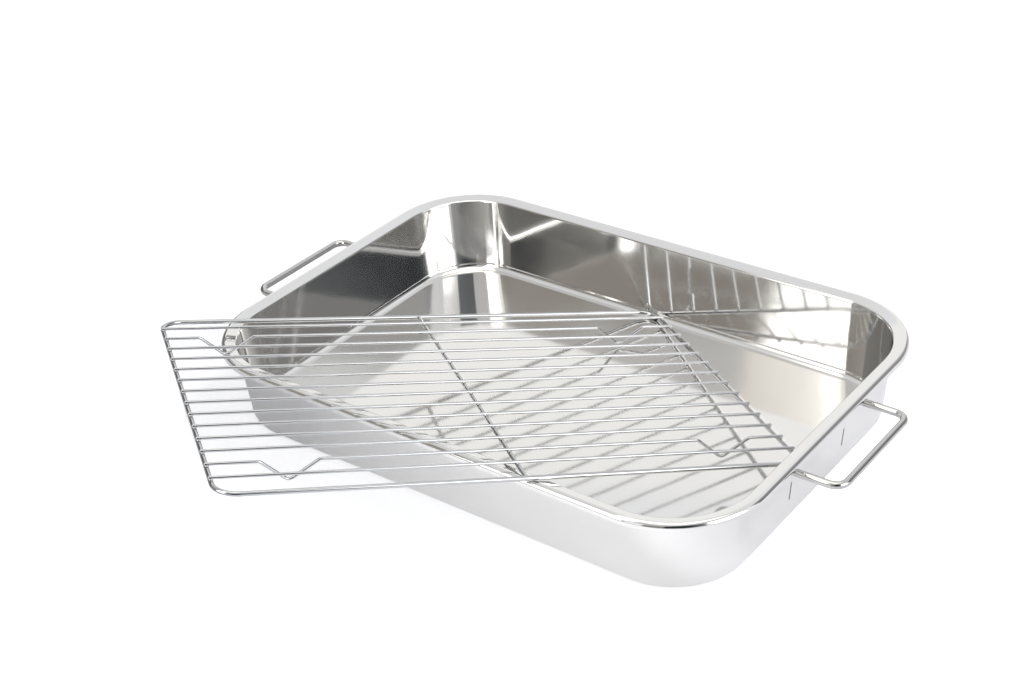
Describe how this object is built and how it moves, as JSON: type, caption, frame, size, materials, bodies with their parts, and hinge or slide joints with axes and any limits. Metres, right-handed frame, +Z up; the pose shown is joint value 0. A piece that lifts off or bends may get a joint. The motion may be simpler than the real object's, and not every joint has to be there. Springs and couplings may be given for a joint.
{
  "type": "roasting pan with rack",
  "caption": "Rectangular steel roasting pan with a rolled rim and two fixed rod handles, and a loose wire rack with bent feet that leans out over the rim.",
  "frame": {"origin": "middle of the pan's flat base, on the surface that it stands on", "axes": "+X along the pan's long side towards the right-hand handle, +Y from the front long side to the back one, +Z up"},
  "size_m": [0.4538, 0.4206, 0.0964],
  "materials": {
    "pan_steel": "polished stainless sheet, satin on the floor",
    "handle_steel": "polished stainless rod with bright weld beads",
    "rack_steel": "bright plated steel wire"
  },
  "bodies": {
    "root": {"handle_left": "handle_steel", "handle_right": "handle_steel", "pan_shell": "pan_steel"},
    "rack": {"rack_cross_bar": "rack_steel", "rack_foot_wire_02": "rack_steel", "rack_foot_wire_13": "rack_steel", "rack_frame": "rack_steel", "rack_wire_01": "rack_steel", "rack_wire_03": "rack_steel", "rack_wire_04": "rack_steel", "rack_wire_05": "rack_steel", "rack_wire_06": "rack_steel", "rack_wire_07": "rack_steel", "rack_wire_08": "rack_steel", "rack_wire_09": "rack_steel", "rack_wire_10": "rack_steel", "rack_wire_11": "rack_steel", "rack_wire_12": "rack_steel", "rack_wire_14": "rack_steel"}
  },
  "joints": [
    {"name": "rack_lift", "type": "slide", "parent": "root", "child": "rack", "axis": [0, 0, 1], "range_m": [0, 0.08]}
  ]
}
